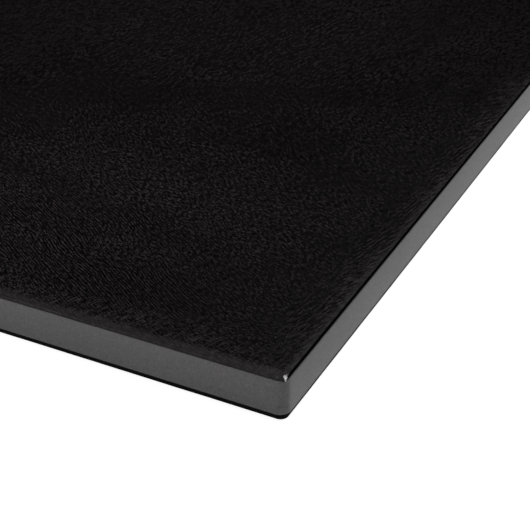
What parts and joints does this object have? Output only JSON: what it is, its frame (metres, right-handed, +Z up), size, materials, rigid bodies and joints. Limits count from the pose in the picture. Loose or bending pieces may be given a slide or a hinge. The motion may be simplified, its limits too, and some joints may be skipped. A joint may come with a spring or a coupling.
{
  "type": "granite slab",
  "caption": "Flat leatherworking slab of grey granite, faced with black grained leather and backed with a thin rubber anti-slip sheet.",
  "frame": {"origin": "centre of the underside, on the surface that the slab rests on", "axes": "+Z up out of the leather face, +Y along the longer side, +X along the shorter side"},
  "size_m": [0.3, 0.4, 0.0123],
  "materials": {
    "rubber": "matte black anti-slip rubber sheet",
    "adhesive": "thin double-sided adhesive film, hidden between the layers",
    "granite": "honed fine-grained grey granite, satin",
    "leather": "black grained leather, low sheen, with a smooth burnished margin"
  },
  "bodies": {
    "root": {"rubber_base": "rubber", "base_adhesive": "adhesive", "granite_slab": "granite", "facing_adhesive": "adhesive", "leather_facing": "leather"}
  },
  "joints": []
}
